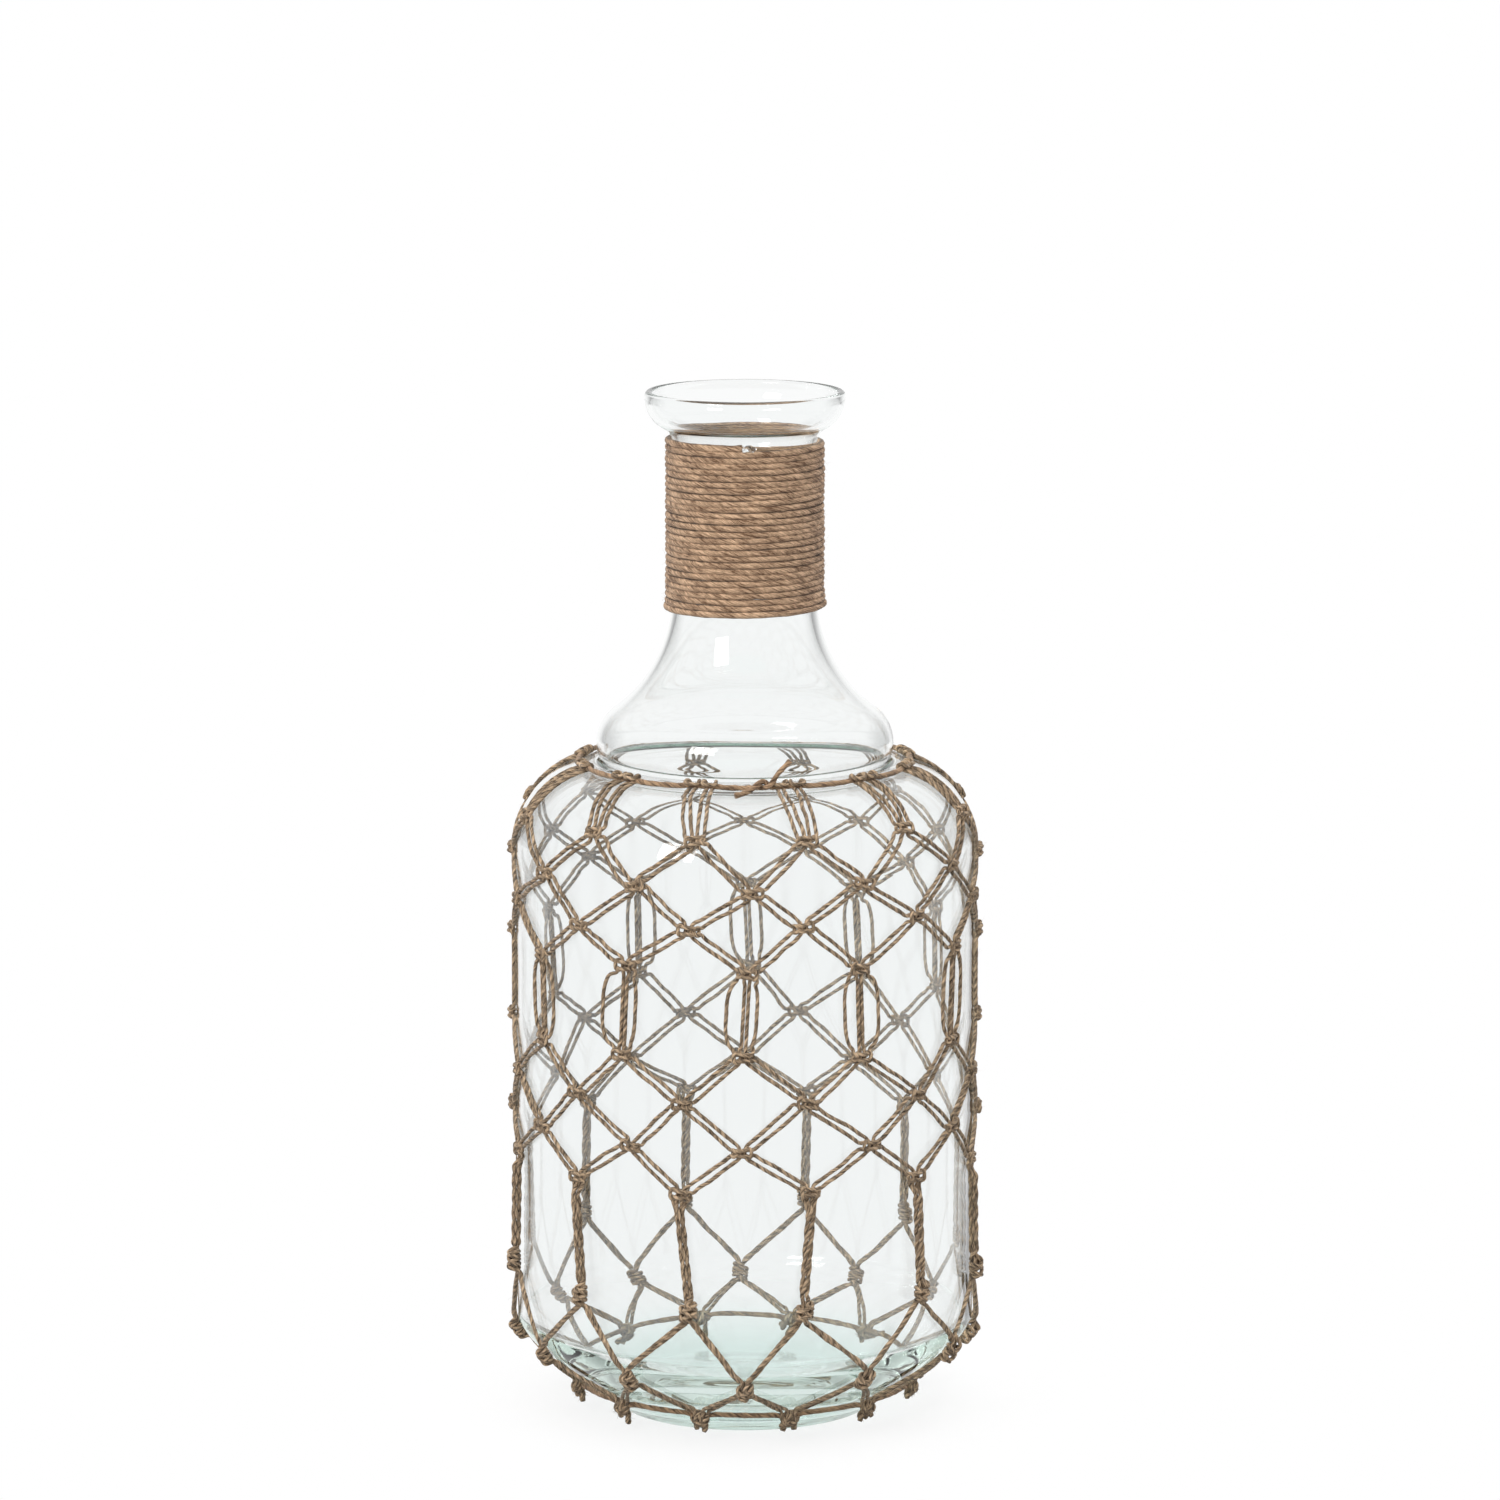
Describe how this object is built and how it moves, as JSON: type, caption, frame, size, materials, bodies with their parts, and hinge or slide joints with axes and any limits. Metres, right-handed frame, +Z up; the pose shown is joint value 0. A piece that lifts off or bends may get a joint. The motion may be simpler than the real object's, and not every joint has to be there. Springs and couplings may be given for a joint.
{
  "type": "bottle vase",
  "caption": "Clear glass bottle vase with a cup mouth, a twine-wound neck and a knotted jute net round the body.",
  "frame": {"origin": "centre of the flat foot, on the surface that the vase stands on", "axes": "+Z up along the bottle's axis, -Y towards the front of the picture, +X to its right"},
  "size_m": [0.2326, 0.2326, 0.4968],
  "materials": {
    "clear_glass": "clear, smooth",
    "neck_twine": "plied jute",
    "ring_jute": "plied jute",
    "net_jute": "plied jute"
  },
  "bodies": {
    "root": {"glass_bottle": "clear_glass", "neck_winding": "neck_twine", "shoulder_ring_cord": "ring_jute", "base_ring_cord": "ring_jute", "net_cord_left_01": "net_jute", "net_cord_left_02": "net_jute", "net_cord_left_03": "net_jute", "net_cord_left_04": "net_jute", "net_cord_left_05": "net_jute", "net_cord_left_06": "net_jute", "net_cord_left_07": "net_jute", "net_cord_left_08": "net_jute", "net_cord_left_09": "net_jute", "net_cord_left_10": "net_jute", "net_cord_left_11": "net_jute", "net_cord_left_12": "net_jute", "net_cord_right_01": "net_jute", "net_cord_right_02": "net_jute", "net_cord_right_03": "net_jute", "net_cord_right_04": "net_jute", "net_cord_right_05": "net_jute", "net_cord_right_06": "net_jute", "net_cord_right_07": "net_jute", "net_cord_right_08": "net_jute", "net_cord_right_09": "net_jute", "net_cord_right_10": "net_jute", "net_cord_right_11": "net_jute", "net_cord_right_12": "net_jute"}
  },
  "joints": []
}
